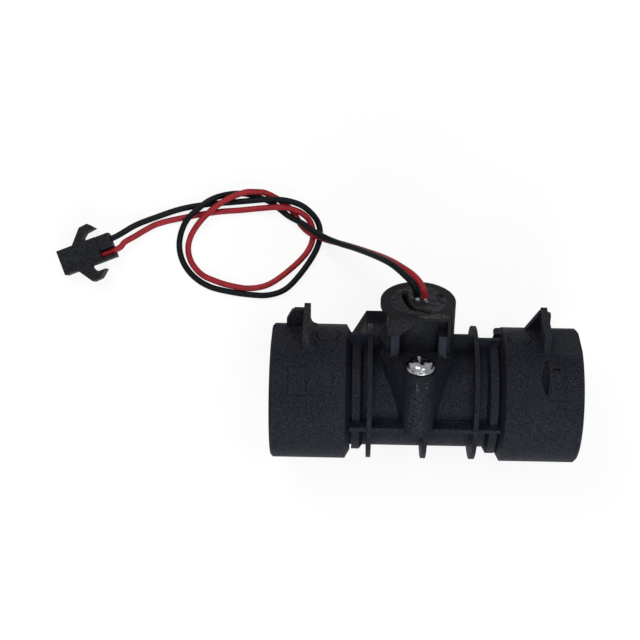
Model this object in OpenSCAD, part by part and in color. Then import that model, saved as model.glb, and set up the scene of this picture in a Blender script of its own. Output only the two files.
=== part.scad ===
// In-line water flow sensor: a moulded body with a socket at each end, a swinging paddle in its
// bore, and a potted reed contact in a screwed-on holder, with two wires to a two-way plug.
// Each piece is drawn with the tube along X and the turret up, from the mouth of the left socket.
// The whole sensor is then leaned back, as it lies on a table on its two sockets and its foot.

/* [Body] */
// Length over both sockets
body_len = 80; // [72:1:96]
// Outer diameter of a socket
socket_d = 35.4; // [34.6:0.1:37]
// Length of the left socket on the outside
socket_len = 20.7; // [19.6:0.1:22]
// How much longer the right socket is
right_extra = 0.4; // [0:0.1:1.2]
// Bore that takes the pipe end
socket_bore_d = 29.2; // [28.4:0.1:29.8]
// Depth of that bore
socket_depth = 16; // [13:0.5:16.4]
// Axial and radial size of the slope at a socket's inner edge
socket_slope = [1.3, 2.3];
// Edge break at a socket's mouth
mouth_break = 0.6; // [0.2:0.1:1]
// Outer diameter of the tube between the sockets
tube_d = 28.1; // [27:0.1:28.8]
// Bore of the flow way
flow_bore_d = 22; // [21.6:0.1:22.4]
// Diameters over the two neck rings
neck_ring_d = [30.4, 31.4];
// Width of a neck ring
neck_ring_w = 2; // [1.4:0.1:2.4]
// Gap between a socket and its neck ring
neck_gap = 0.4; // [0.3:0.1:0.9]
// Diameter over the round fins
fin_d = 34.8; // [32:0.1:35]
// Thickness of a fin
fin_t = 1.2; // [0.9:0.1:1.6]
// Places of the three fins along the tube
fin_x = [25.6, 40, 52.8];
// Thickness of the long ribs
rib_t = 1.1; // [0.8:0.1:1.6]
// Reach of the long ribs from the tube's axis
rib_reach = 17.2; // [16:0.1:17.6]
// Reach of the top rib between the left socket and the third fin
top_rib_reach = 18.2; // [17:0.1:18.6]
// Offset of the fins' upper half
fin_lift = 0.6; // [0:0.1:1.2]
// Angle by which the sensor leans back at rest
lean = 58; // [56:1:60]

/* [Socket details] */
// Left faces of the two ears, the first from the left mouth, the second from the right one
ear_in = [8.3, 10.3];
// Thickness of an ear
ear_t = 1.7; // [1.2:0.1:2.2]
// Width of an ear
ear_w = 12.6; // [11:0.1:14]
// Height of an ear's top above the tube's axis
ear_top = 23.2; // [22.2:0.1:24]
// Height of the flat at each mouth above the tube's axis
flat_z = 16.6; // [16.3:0.1:17]
// Thickness of the webs that brace the ears
web_t = 1.5; // [1.1:0.1:2]
// Length of the left ear's web along the tube
left_web_len = 4.6; // [3.6:0.1:5.6]
// Length of the right ear's web along the tube
right_web_len = 4.4; // [3.4:0.1:5.4]
// Left sides of the two pads, the first from the left mouth, the second from the right one
pad_in = [5, 9.4];
// Length, width and height of a pad above the socket
pad_size = [4.2, 6.6, 0.5];
// Turn of the pads in front of the top
pad_turn = 48; // [44:1:52]
// Diameter of the round marks on the sockets
mark_d = 6.2; // [5:0.1:7]
// Distance of the round marks from the two mouths
mark_in = [14.6, 15.7];

/* [Turret and holder] */
// Place of the turret's axis along the tube
turret_x = 37.5; // [36.6:0.1:38.6]
// Outer diameter of the turret and the holder
turret_d = 19.2; // [18.6:0.1:19.6]
// Bore of the turret
turret_bore_d = 15; // [14.6:0.1:15.4]
// Height of the holder's seat above the tube's axis
seat_z = 16.8; // [16.6:0.1:17.6]
// Thickness of the holder's flange and tongue
flange_t = 1.5; // [1.3:0.1:2]
// Height of the cup above the flange
cup_h = 10; // [9:0.1:10.6]
// Wall of the cup
cup_wall = 2.4; // [2.2:0.1:2.8]
// Clearance between the holder's spigot and the turret's bore
spigot_clear = 0.15; // [0.1:0.05:0.25]
// Length of the spigot below the seat
spigot_len = 6.2; // [6:0.1:6.6]
// Width over the two front legs
legs_w = 14; // [13:0.1:15]
// Width of a leg
leg_w = 2.1; // [1.8:0.1:2.8]
// Height of a leg
leg_h = 6.2; // [5:0.1:6.6]
// Distance of the legs' faces in front of the turret's axis
leg_reach = 10.9; // [10.6:0.1:11.6]
// Distance of the screw in front of the turret's axis
screw_reach = 15.6; // [15.2:0.1:16.4]
// Distance of the screw to the right of the turret's axis
screw_aside = 0.5; // [0:0.1:1]
// Distance of the legs to the right of the turret's axis
legs_aside = 0.1; // [0:0.1:0.6]
// Thickness of the cup's full round rim
rim_h = 1.4; // [1:0.1:3]
// Distance of the cup's flat left side from the turret's axis, below the rim
flat_side = 7.7; // [7.6:0.1:9]
// Distance of the roof's right edge from the turret's axis
roof_right = 7.9; // [7.6:0.1:8.4]
// Diameter of the screw's boss
boss_d = 8; // [7:0.1:8.4]

/* [Foot] */
// Reach of the foot behind the tube's axis
foot_reach = 21.6; // [20.4:0.1:22]
// Height of the foot's top above the tube's axis
foot_top = 11.8; // [10.4:0.1:12.4]
// Left and right end of the foot
foot_x = [20.9, 47];
// Wall of the foot
foot_wall = 1.8; // [1.4:0.1:2.2]

/* [Screw] */
// Diameter of the screw's shank
screw_d = 3; // [2.6:0.1:3.4]
// Length of the shank
screw_len = 10; // [7:0.5:12]
// Diameter of the screw's head
screw_head_d = 7.4; // [6.4:0.1:7.8]
// Height of the screw's head
screw_head_h = 2.3; // [1.8:0.1:2.8]

/* [Paddle] */
// Height of the hinge pin above the tube's axis
pin_z = 8; // [7.6:0.1:8.2]
// Diameter of the hinge pin
pin_d = 1.5; // [1.2:0.1:1.7]
// Running clearance round the pin
pin_clear = 0.05; // [0.03:0.01:0.08]
// Width of the blade
blade_w = 11; // [8.5:0.1:11.4]
// Thickness of the blade
blade_t = 1.4; // [1:0.1:1.8]
// Reach of the blade below the tube's axis
blade_reach = 8.6; // [6:0.1:8.8]
// Diameter of the magnet
magnet_d = 4; // [3:0.1:4.2]
// Thickness of the magnet
magnet_t = 1.8; // [1.2:0.1:2]

/* [Wires and plug] */
// Diameter of a wire over its insulation
wire_d = 1.6; // [1.4:0.1:1.6]
// Length of the plug
plug_len = 14.9; // [14:0.1:17]
// Width of the plug without its wings
plug_w = 6.9; // [6.6:0.1:8]
// Thickness of the plug
plug_h = 5.5; // [5.1:0.1:5.9]
// Length of the open trough at the plug's rear
trough_len = 3.7; // [3:0.1:4.4]
// Distance between the two contacts
contact_pitch = 3.2; // [3:0.1:3.4]
// Width of a contact
contact_w = 1.9; // [1.7:0.1:2.1]

/* [Hidden] */
$fn = 96;
cut = 1;
overlap = 0.2;
fit_gap = 0.02;

socket_r = socket_d / 2;
tube_r = tube_d / 2;
turret_r = turret_d / 2;
floor_z = -socket_r;
right_len = socket_len + right_extra;
right_x = body_len - right_len;
seal_depth = 2.5;
seal_wall = 2.3;
seal_bore_r = flow_bore_d / 2 + 0.6;
seal_seat_r = seal_bore_r + seal_wall;
seal_gap = 0.05;
lug_size = [1.3, 2.8, 2];
lug_round = 0.8;
lug_y = 3;
ear_x = [ear_in[0], body_len - ear_in[1]];
pad_x = [pad_in[0], body_len - pad_in[1]];
mark_x = [mark_in[0], body_len - mark_in[1]];

flange_top = seat_z + flange_t;
cup_top = flange_top + cup_h;
cup_floor = flange_top + 1.9;
cup_bore_r = turret_r - cup_wall;
spigot_r = turret_bore_d / 2 - spigot_clear;
spigot_bottom = seat_z - spigot_len;
ring_groove_w = 2.2;
ring_groove_z = spigot_bottom + 1.2;
ring_groove_r = spigot_r - 1.5;
boss_r = boss_d / 2;
boss_bottom = -0.4;
rim_drop = 0.2;
roof_wall = 0.7;
leg_depth = 2.1;

reed_y = 1;
reed_len = 9;
reed_r = 1.1;
reed_cavity_r = 0.8;
lead_r = 0.28;
lead_x = 5.2;
reed_z = ring_groove_z + ring_groove_w + 1.9;
run_z = cup_floor + 1.4;
wire_exit_x = [-0.2, 1.8];
sleeve_r = 0.9;
sleeve_h = 3.6;
sleeve_z = run_z + 0.5;
wire_start_z = sleeve_z + sleeve_h;
pocket_half = [lead_x + 0.8, 1.6];

clevis_in = 3.2;
clevis_t = 1.8;
clevis_r = 2.4;
clevis_clear = 0.6;
hub_r = 1.9;
hub_y = [-3, 0.9];
blade_top = pin_z - clevis_r - clevis_clear;
magnet_z = 3.6;
magnet_boss_wall = 0.6;
spring_wire_r = 0.18;
spring_coil_r = 1.35;
spring_turns = 3;
spring_pitch = 0.46;

plug_pos = [-45.6, 38.3];
plug_turn = -158.2;
plug_mid_z = floor_z + plug_h / 2;
entry_shift = -0.2;
cavity_w = contact_w + 0.3;
contact_start = trough_len + 0.5;
contact_len = 8.6;
barrel_len = 2.4;

// Routes of the wires on the table, from the turret to the plug, as centre points in mm
BLACK_ROUTE = [[36.2, 28, 16.2], [34, 30.3, 16.2], [31.2, 32.8, 13.8], [28.2, 34.7, 9.6],
    [21.2, 37.9, -1.4], [17, 39.4, -7.4], [13.1, 41.1, -11.6], [9.8, 42.9, -13.2], [6.5, 45.1, -14.1],
    [2.6, 47.2, -16.2], [0.1, 49.1, -16.9], [-2.5, 51, -16.9], [-5.7, 52.2, -16.9], [-9.9, 53.2, -16.9],
    [-14.4, 52.9, -16.7], [-18.8, 51.3, -15.3], [-22.4, 48.6, -15.1], [-25.4, 45.5, -15.3],
    [-27.2, 41.6, -16.6], [-27.5, 37.6, -16.9], [-26.2, 33.5, -16.9], [-23.3, 29.9, -16.9],
    [-19, 27.3, -16.9], [-13.6, 26, -16.9], [-8.2, 25.3, -16.9], [-2.9, 25.2, -16.9], [1.5, 26.6, -16.9],
    [5, 29.8, -16.9], [10.3, 37.8, -16.9], [11.4, 42.1, -16.9], [10.8, 45.5, -16.8], [8.9, 48.1, -16],
    [6, 50.2, -15.2], [1.9, 51.4, -15.1], [-3, 51.6, -15], [-8, 51.2, -15.7], [-13.8, 50.7, -16.9],
    [-20.4, 50, -16.9], [-27.4, 48.6, -16.9], [-33.8, 46.3, -16.6], [-39.6, 43.8, -15.6]];
RED_ROUTE = [[38.5, 27.5, 15.6], [36.7, 30, 14.6], [33.2, 32.7, 11], [29.3, 35, 5.8], [21.2, 38.2, -5],
    [17, 39.6, -10.4], [12.9, 40.8, -13.9], [8.5, 42.6, -15.1], [6, 44.9, -16.3], [4.6, 47.2, -16.9],
    [3.3, 49, -16.9], [1.3, 50.6, -16.9], [-1.2, 52.3, -16.9], [-4.8, 53.7, -16], [-8.3, 53.7, -15.2],
    [-11.9, 52.6, -15.1], [-15.4, 50.8, -15.1], [-18.6, 48.4, -15.1], [-21.9, 45, -15.6],
    [-24.4, 41.2, -16.9], [-25.1, 37.6, -16.9], [-24.1, 33.9, -16.9], [-21.2, 30.6, -16.9],
    [-17.2, 28.8, -16.9], [-12.9, 27.6, -16.9], [-8, 27, -16.9], [-3.3, 27.9, -16.9], [0.8, 30.4, -16.9],
    [7.5, 36.8, -16.9], [9.3, 40.7, -16.9], [9.1, 44.5, -16.8], [7.5, 47.1, -16], [4.4, 48.8, -15.2],
    [0.2, 49.5, -15.1], [-5, 49.2, -16], [-10.9, 48.6, -16.9], [-17.2, 48, -16.9], [-26.2, 46.3, -16.9],
    [-33.8, 44.3, -16.8], [-37.1, 42.5, -16.3], [-39.5, 40.9, -15.8], [-42.6, 38.9, -15.2]];

// Turns a point of the sensor's own frame to the leaned rest frame
function leaned(p) = [p[0], p[1] * cos(lean) + p[2] * sin(lean), p[2] * cos(lean) - p[1] * sin(lean)];
// A point of the plug's own frame in the rest frame
function on_plug(p) = [plug_pos[0] + p[0] * cos(plug_turn) - p[1] * sin(plug_turn),
    plug_pos[1] + p[0] * sin(plug_turn) + p[1] * cos(plug_turn), plug_mid_z + p[2]];

function unit(v) = v / norm(v);
function tangent(path, i) = unit(path[min(i + 1, len(path) - 1)] - path[max(i - 1, 0)]);
function side_of(t) = abs(t[2]) > 0.95 ? [1, 0, 0] : [0, 0, 1];
// Ring directions carried along the path with little twist
function carried(u, t) = unit(u - t * (u * t));
function frames(path, i = 0, u = [0, 0, 0]) = i == len(path) ? [] :
    let (t = tangent(path, i), n = i == 0 ? unit(cross(t, side_of(t))) : carried(u, t))
    concat([[n, cross(t, n)]], frames(path, i + 1, n));

// A tube of the given sides along a path
module swept(path, r, sides) {
    rings = frames(path);
    last = len(path) - 1;
    points = [for (i = [0 : last]) for (k = [0 : sides - 1])
        path[i] + r * (rings[i][0] * cos(360 * k / sides) + rings[i][1] * sin(360 * k / sides))];
    walls = [for (i = [0 : last - 1]) for (k = [0 : sides - 1])
        let (a = i * sides + k, b = i * sides + (k + 1) % sides)
        each [[a, b, b + sides], [a, b + sides, a + sides]]];
    caps = [[for (k = [sides - 1 : -1 : 0]) k], [for (k = [0 : sides - 1]) last * sides + k]];
    polyhedron(points, concat(walls, caps), convexity = 10);
}

module leaned_back() rotate([-lean, 0, 0]) children();
module along_x(x = 0) translate([x, 0, 0]) rotate([0, 90, 0]) children();
module along_y(p) translate(p) rotate([-90, 0, 0]) children();
module at_turret(z = 0) translate([turret_x, 0, z]) children();
module at_screw(z = 0) translate([turret_x + screw_aside, -screw_reach, z]) children();
module both_ends() {
    children();
    translate([body_len, 0, 0]) mirror([1, 0, 0]) children();
}

// One socket with its inner slope and neck ring, from the mouth inwards
module socket_end(long, ring_d) {
    slope_x = long - socket_slope[0];
    slope_r = socket_r - socket_slope[1];
    along_x() rotate_extrude() polygon([[0, 0], [socket_r - mouth_break, 0], [socket_r, mouth_break],
        [socket_r, slope_x], [slope_r, long], [0, long]]);
    along_x(long + neck_gap) rotate_extrude() polygon([[0, 0], [ring_d / 2, 0],
        [ring_d / 2, neck_ring_w], [tube_r, neck_ring_w + 0.9], [0, neck_ring_w + 0.9]]);
}

module long_ribs() {
    for (y = [-rib_reach, tube_r - cut])
        translate([socket_len - overlap, y, -rib_t / 2])
            cube([right_x - socket_len + 2 * overlap, rib_reach - tube_r + cut, rib_t]);
    translate([socket_len - overlap, -rib_t / 2, tube_r - cut])
        cube([fin_x[2] - socket_len + overlap, rib_t, top_rib_reach - tube_r + cut]);
    translate([fin_x[2], -rib_t / 2, tube_r - cut])
        cube([right_x - fin_x[2] + overlap, rib_t, rib_reach - tube_r + cut]);
}

// Round plate across the tube, a little higher at the top
module fin(x) {
    along_x(x - fin_t / 2) linear_extrude(fin_t) hull() {
        circle(d = fin_d);
        translate([-fin_lift, 0]) circle(d = fin_d);
    }
}

// Plate across the tube on top of a socket
module ear(x) {
    translate([x, -ear_w / 2, socket_r - 3])
        cube([ear_t, ear_w, ear_top - socket_r + 3]);
}

module web(outline, y) translate([0, y + web_t, 0]) rotate([90, 0, 0]) linear_extrude(web_t) polygon(outline);

module ears() {
    web_y = ear_w / 2 - web_t;
    foot = socket_r - 3;
    left_end = ear_x[0] - left_web_len;
    right_end = ear_x[1] - right_web_len;
    for (x = ear_x) ear(x);
    web([[left_end, foot], [left_end, ear_top - 4.4], [left_end + 1.3, ear_top - 1.9],
        [left_end + 2.2, ear_top - 1.3], [ear_x[0] + overlap, ear_top - 1.3], [ear_x[0] + overlap, foot]], web_y);
    web([[right_end, foot], [right_end, socket_r - 1.8], [ear_x[1] - 0.4, ear_top - 1],
        [ear_x[1] + overlap, ear_top - 0.4], [ear_x[1] + overlap, foot]], web_y);
    web([[ear_x[1] + ear_t - overlap, foot], [ear_x[1] + ear_t - overlap, ear_top - 1.2],
        [ear_x[1] + ear_t + 1, ear_top - 1.4], [ear_x[1] + ear_t + 1.1, foot]], web_y);
    difference() {
        translate([ear_x[0] + ear_t - overlap, -ear_w / 2, foot])
            cube([1.6 + overlap, ear_w, socket_r + 2 - foot]);
        along_y([ear_x[0] + ear_t + 1.6, -ear_w / 2 - cut, socket_r + 0.9]) cylinder(r = 1.5, h = ear_w + 2 * cut);
        translate([ear_x[0] + ear_t, -ear_w / 2 - cut, socket_r + 0.9]) cube([4, ear_w + 2 * cut, 4]);
    }
}

module pads() {
    for (x = pad_x) rotate([pad_turn, 0, 0])
        translate([x, -pad_size[1] / 2, socket_r - 2]) cube([pad_size[0], pad_size[1], 2 + pad_size[2]]);
}

// Pointed recess and short slit beside the right pad
module pad_recess() {
    rotate([pad_turn, 0, 0]) translate([pad_x[1], 0, socket_r]) {
        translate([0, 0, -1.9]) linear_extrude(4) polygon([[-0.1, -2.2], [0.3, -0.2], [0.4, 3.4],
            [0.1, 6.6], [-0.4, 6.6], [-1.8, 1.7], [-0.6, -2.2]]);
        translate([1.4, 4, -1.4]) cube([1.7, 0.55, 3]);
    }
}

module round_marks() {
    for (x = mark_x) translate([x, 0, socket_r - 0.45]) difference() {
        cylinder(d = mark_d + 0.3, h = 2);
        translate([0, 0, -cut]) cylinder(d = mark_d - 0.3, h = 4);
    }
}

// Flat outline shared by the holder's tongue and the body's seat under it
module tongue_outline() {
    polygon([[-turret_r * 0.8, -turret_r * 0.55], [legs_aside - legs_w / 2, -leg_reach],
        [screw_aside - boss_r, -screw_reach], [screw_aside + boss_r, -screw_reach],
        [legs_aside + legs_w / 2, -leg_reach], [turret_r * 0.8, -turret_r * 0.55]]);
    translate([screw_aside, -screw_reach]) circle(r = boss_r);
}

// Boss under the screw, with the flared walls that carry it down the front of the tube
module boss() {
    at_turret() {
        translate([screw_aside, -screw_reach, boss_bottom]) cylinder(r = boss_r, h = seat_z - boss_bottom);
        translate([0, 0, seat_z - 1.2]) linear_extrude(1.2) tongue_outline();
        hull() {
            translate([0, 0, seat_z - 1.4]) linear_extrude(0.4)
                polygon([[-turret_r + 0.4, -2], [-turret_r + 0.4, -7], [legs_aside - legs_w / 2, -leg_reach],
                    [screw_aside - boss_r, -screw_reach], [screw_aside + boss_r, -screw_reach],
                    [legs_aside + legs_w / 2, -leg_reach], [turret_r - 0.4, -7], [turret_r - 0.4, -2]]);
            translate([screw_aside - boss_r - 1.6, -13, boss_bottom]) cube([2 * boss_r + 3.2, 4, 0.4]);
            translate([screw_aside - boss_r + 0.4, -screw_reach, boss_bottom])
                cube([2 * boss_r - 0.8, 4, 0.4]);
        }
    }
}

module foot_outline(inset) {
    left = foot_x[0] + inset;
    right = foot_x[1] - inset;
    top = foot_top - inset;
    polygon([[left, -3 + inset], [left, foot_top - 7 - inset / 2], [left + 3.7, top], [right, top],
        [right, -3 + inset]]);
}

// Cored foot at the back, under the turret
module foot() {
    difference() {
        translate([0, foot_reach, 0]) rotate([90, 0, 0]) linear_extrude(foot_reach - 8) foot_outline(0);
        difference() {
            translate([0, foot_reach + cut, 0]) rotate([90, 0, 0]) linear_extrude(6.4 + cut)
                foot_outline(foot_wall);
            for (x = [foot_x[0] + 8.6, foot_x[0] + 16.8])
                translate([x, tube_r, -5]) cube([foot_wall - 0.3, foot_reach - tube_r + 2 * cut, 20]);
        }
        under_table();
    }
}

// Everything below the table, in the sensor's own frame, so that the foot stands flat on it
module under_table() {
    rotate([lean, 0, 0]) translate([-cut, -60, floor_z - 20]) cube([body_len + 2 * cut, 120, 20]);
}

// Short hook at the right socket's inner edge, with a rounded end
module lug() {
    end_x = right_x - lug_size[0] + overlap;
    top_z = socket_r - 0.7;
    hull() {
        translate([right_x, lug_y, top_z - lug_size[2]]) cube([1.4, lug_size[1], lug_size[2]]);
        for (z = [top_z - lug_round, top_z - lug_size[2] + lug_round])
            along_y([end_x + lug_round, lug_y, z]) cylinder(r = lug_round, h = lug_size[1]);
    }
}

module body_outside() {
    socket_end(socket_len, neck_ring_d[0]);
    difference() {
        translate([body_len, 0, 0]) mirror([1, 0, 0]) socket_end(right_len, neck_ring_d[1]);
        rotate([lean, 0, 0]) translate([right_x - neck_gap - 4, tube_r - 0.2, -12]) cube([4, 6, 30]);
    }
    along_x(socket_len - overlap) cylinder(r = tube_r, h = right_x - socket_len + 2 * overlap);
    for (x = fin_x) fin(x);
    long_ribs();
    ears();
    pads();
    at_turret() cylinder(r = turret_r, h = seat_z);
    boss();
    foot();
    lug();
}

module body_inside() {
    both_ends() {
        along_x(-cut) cylinder(d = socket_bore_d, h = socket_depth + cut);
        along_x(socket_depth - cut) cylinder(r = seal_seat_r, h = seal_depth + cut);
    }
    along_x() cylinder(d = flow_bore_d, h = body_len);
    at_turret() cylinder(d = turret_bore_d, h = seat_z + cut);
    at_screw(seat_z - screw_len + flange_t - 1) cylinder(d = screw_d + 2 * fit_gap, h = screw_len + cut);
    at_turret(seat_z) cylinder(r = turret_r + 0.1, h = cup_h);
    for (x = [-cut, ear_x[1] + ear_t])
        translate([x, -socket_r, flat_z]) cube([x < 0 ? ear_x[0] + cut : body_len, socket_d, socket_r]);
    round_marks();
    pad_recess();
}

module body() {
    color("#1c1d21") leaned_back() difference() {
        body_outside();
        difference() {
            body_inside();
            keep_ears();
        }
    }
}

// The webs and pads that stand in the way of the flats' cutters
module keep_ears() {
    intersection() {
        ears();
        translate([-cut, -ear_w, flat_z]) cube([body_len + 2 * cut, 2 * ear_w, ear_top]);
    }
}

// Front face of the cup: legs, sloping roof and the window between them
module cup_front() {
    rim_y = -turret_r + 0.2;
    left_leg = legs_aside - legs_w / 2;
    right_leg = legs_aside + legs_w / 2;
    difference() {
        translate([-flat_side, 0, 0]) rotate([90, 0, 90]) linear_extrude(flat_side + roof_right)
            polygon([[-4, flange_top - overlap], [-leg_reach, flange_top - overlap], [-leg_reach, flange_top + leg_h],
                [rim_y, cup_top], [-4, cup_top]]);
        translate([0, -cup_bore_r - 0.6, 0]) rotate([90, 0, 0]) linear_extrude(10) window_outline();
        translate([left_leg - turret_r, -2 * turret_r, flange_top])
            cube([turret_r, 2 * turret_r - leg_reach + leg_depth, leg_h]);
        translate([right_leg, -2 * turret_r, flange_top])
            cube([turret_r, 2 * turret_r - leg_reach + leg_depth, leg_h]);
    }
}

module window_outline() {
    left_in = legs_aside - legs_w / 2 + leg_w;
    right_in = legs_aside + legs_w / 2 - leg_w;
    roof_in = roof_right - roof_wall;
    shoulder = flange_top + leg_h;
    top = cup_top - rim_drop;
    polygon([[left_in, flange_top], [left_in, shoulder], [0.1, top], [roof_in, top],
        [roof_in, shoulder], [right_in, shoulder], [right_in, flange_top]]);
}

// Two ears below the spigot that hold the hinge pin
module clevis() {
    for (y = [clevis_in, -clevis_in - clevis_t]) {
        along_y([0, y, pin_z]) cylinder(r = clevis_r, h = clevis_t);
        translate([-clevis_r, y, pin_z]) cube([2 * clevis_r, clevis_t, spigot_bottom - pin_z + overlap]);
    }
}

module reed_pocket() {
    translate([-pocket_half[0], reed_y - pocket_half[1], reed_z - reed_r - 0.3])
        cube([2 * pocket_half[0], 2 * pocket_half[1], cup_floor - reed_z + reed_r + 0.3 + overlap]);
}

module sensor_holder() {
    color("#191a1d") leaned_back() at_turret() difference() {
        union() {
            translate([0, 0, seat_z]) linear_extrude(flange_t) tongue_outline();
            translate([0, 0, seat_z]) cylinder(r = turret_r, h = flange_t);
            translate([0, 0, cup_top - rim_h]) cylinder(r = turret_r, h = rim_h);
            intersection() {
                translate([0, 0, seat_z]) cylinder(r = turret_r, h = cup_top - seat_z);
                translate([-flat_side, -turret_d, seat_z]) cube([2 * turret_d, 2 * turret_d, 2 * cup_h]);
            }
            cup_front();
            translate([0, 0, spigot_bottom]) cylinder(r = spigot_r, h = spigot_len + overlap);
            clevis();
        }
        translate([0, 0, cup_floor]) cylinder(r = cup_bore_r, h = cup_h + cut);
        reed_pocket();
        translate([0, 0, ring_groove_z]) difference() {
            cylinder(r = spigot_r + cut, h = ring_groove_w);
            translate([0, 0, -cut]) cylinder(r = ring_groove_r, h = ring_groove_w + 2 * cut);
        }
        translate([screw_aside, -screw_reach, seat_z - cut]) cylinder(d = screw_d + 0.4, h = flange_t + 2 * cut);
        along_y([0, -clevis_in - clevis_t - cut, pin_z])
            cylinder(d = pin_d + 2 * fit_gap, h = 2 * (clevis_in + clevis_t + cut));
    }
}

module holder_o_ring() {
    squeeze = (turret_bore_d / 2 - ring_groove_r) / 2;
    color("#101010") leaned_back() at_turret(ring_groove_z + ring_groove_w / 2)
        rotate_extrude() translate([ring_groove_r + squeeze, 0]) circle(r = squeeze - fit_gap, $fn = 48);
}

// Leg of a reed lead: out of the glass, up the pocket's end and in to its wire
module lead(side) {
    exit_x = side < 0 ? wire_exit_x[0] : wire_exit_x[1];
    far = side * lead_x;
    run = abs(far - exit_x);
    translate([side * (reed_len / 2 - 1.4), reed_y, reed_z]) rotate([0, side * 90, 0])
        cylinder(r = lead_r, h = lead_x - reed_len / 2 + 1.4);
    translate([far, reed_y, reed_z - lead_r]) cylinder(r = lead_r, h = run_z - reed_z + 2 * lead_r);
    translate([far, reed_y, run_z]) rotate([0, -side * 90, 0]) cylinder(r = lead_r, h = run);
    translate([exit_x, reed_y, run_z - lead_r]) cylinder(r = lead_r, h = sleeve_h - 0.4);
}

// Flat tongue inside the glass; the two overlap at the middle with a small gap
module reed_tongue(side) {
    translate([side < 0 ? -3.4 : -0.3, reed_y - 0.45, reed_z + (side < 0 ? -0.22 : 0.06)])
        cube([3.7, 0.9, 0.16]);
    translate([side * 3.2 - 0.2, reed_y - 0.28, reed_z - 0.28]) cube([0.4, 0.56, 0.56]);
}

module reed_blade(side) {
    lead(side);
    reed_tongue(side);
}

module reed_blade_left() color("#b9b9b4") leaned_back() at_turret() reed_blade(-1);
module reed_blade_right() color("#b9b9b4") leaned_back() at_turret() reed_blade(1);

module reed_glass() {
    color("#8fb49a") leaned_back() at_turret() translate([0, reed_y, reed_z]) difference() {
        along_x(-reed_len / 2) cylinder(r = reed_r, h = reed_len);
        along_x(-reed_len / 2 + 1) cylinder(r = reed_cavity_r, h = reed_len - 2);
        along_x(-reed_len / 2 - cut) cylinder(r = lead_r + fit_gap, h = reed_len + 2 * cut);
    }
}

module sleeve(side) {
    x = side < 0 ? wire_exit_x[0] : wire_exit_x[1];
    translate([x, reed_y, sleeve_z]) difference() {
        cylinder(r = sleeve_r, h = sleeve_h);
        translate([0, 0, -cut]) cylinder(r = lead_r + fit_gap, h = sleeve_h);
    }
}

module sleeve_black() color("#202024") leaned_back() at_turret() sleeve(-1);
module sleeve_red() color("#a02028") leaned_back() at_turret() sleeve(1);

// Potting in the cup and the pocket, with room for all that it embeds
module potting() {
    color("#17171a") leaned_back() at_turret() difference() {
        union() {
            translate([0, 0, cup_floor]) cylinder(r = cup_bore_r - fit_gap, h = cup_top - cup_floor - 0.1);
            intersection() {
                reed_pocket();
                translate([0, 0, reed_z - reed_r - 0.3 + fit_gap])
                    cylinder(r = 20, h = 20);
            }
        }
        along_x_at_reed() cylinder(r = reed_r, h = reed_len);
        for (side = [-1, 1]) {
            lead(side);
            translate([side < 0 ? wire_exit_x[0] : wire_exit_x[1], reed_y, sleeve_z]) {
                cylinder(r = sleeve_r, h = sleeve_h);
                cylinder(r = wire_d / 2 + fit_gap, h = cup_h);
            }
        }
        crevice();
    }
}

module along_x_at_reed() translate([-reed_len / 2, reed_y, reed_z]) rotate([0, 90, 0]) children();

// Curved shrinkage crack in the top of the potting
module crevice() {
    translate([-1.6, 0.2, cup_top - 1.1]) difference() {
        cylinder(r = 3.9, h = 2);
        translate([0.6, 0.5, -cut]) cylinder(r = 3.6, h = 4);
        translate([-1.6, 1.6, -cut]) cube([8, 8, 4]);
    }
}

module screw() {
    head_r = screw_head_d / 2;
    color("#c9ccd0") leaned_back() at_screw(flange_top) difference() {
        union() {
            rotate_extrude() polygon(concat([[0, 0], [head_r, 0], [head_r, 0.5]],
                [for (a = [15 : 15 : 90]) [head_r * cos(a), 0.5 + (screw_head_h - 0.5) * sin(a)]]));
            translate([0, 0, -screw_len]) cylinder(d = screw_d, h = screw_len + overlap);
        }
        for (a = [0, 90]) rotate([0, 0, a + 12])
            translate([-2, -0.45, screw_head_h - 1.3]) cube([4, 0.9, 2]);
    }
}

module paddle() {
    color("#2a2c30") leaned_back() at_turret() difference() {
        union() {
            along_y([0, hub_y[0], pin_z]) cylinder(r = hub_r, h = hub_y[1] - hub_y[0]);
            translate([-blade_t / 2, hub_y[0], blade_top - cut])
                cube([blade_t, hub_y[1] - hub_y[0], pin_z - blade_top + cut]);
            blade();
            translate([0, 0, magnet_z]) along_x(0)
                cylinder(d = magnet_d + 2 * magnet_boss_wall, h = blade_t / 2 + magnet_t);
        }
        translate([0, 0, magnet_z]) along_x(blade_t / 2) cylinder(d = magnet_d + 2 * fit_gap, h = magnet_t + cut);
        along_y([0, -10, pin_z]) cylinder(d = pin_d + 2 * pin_clear, h = 20);
    }
}

module blade() {
    half = blade_w / 2;
    translate([-blade_t / 2, 0, 0]) rotate([90, 0, 90]) linear_extrude(blade_t)
        polygon([[-half, blade_top], [-half, -blade_reach + 2.2], [-half + 2.2, -blade_reach],
            [half - 2.2, -blade_reach], [half, -blade_reach + 2.2], [half, blade_top]]);
}

module magnet() {
    color("#7d8086") leaned_back() at_turret(magnet_z) along_x(blade_t / 2 + fit_gap)
        cylinder(d = magnet_d, h = magnet_t - fit_gap);
}

module hinge_pin() {
    color("#b5b8bc") leaned_back() at_turret()
        along_y([0, -clevis_in - clevis_t, pin_z]) cylinder(d = pin_d, h = 2 * (clevis_in + clevis_t));
}

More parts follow.
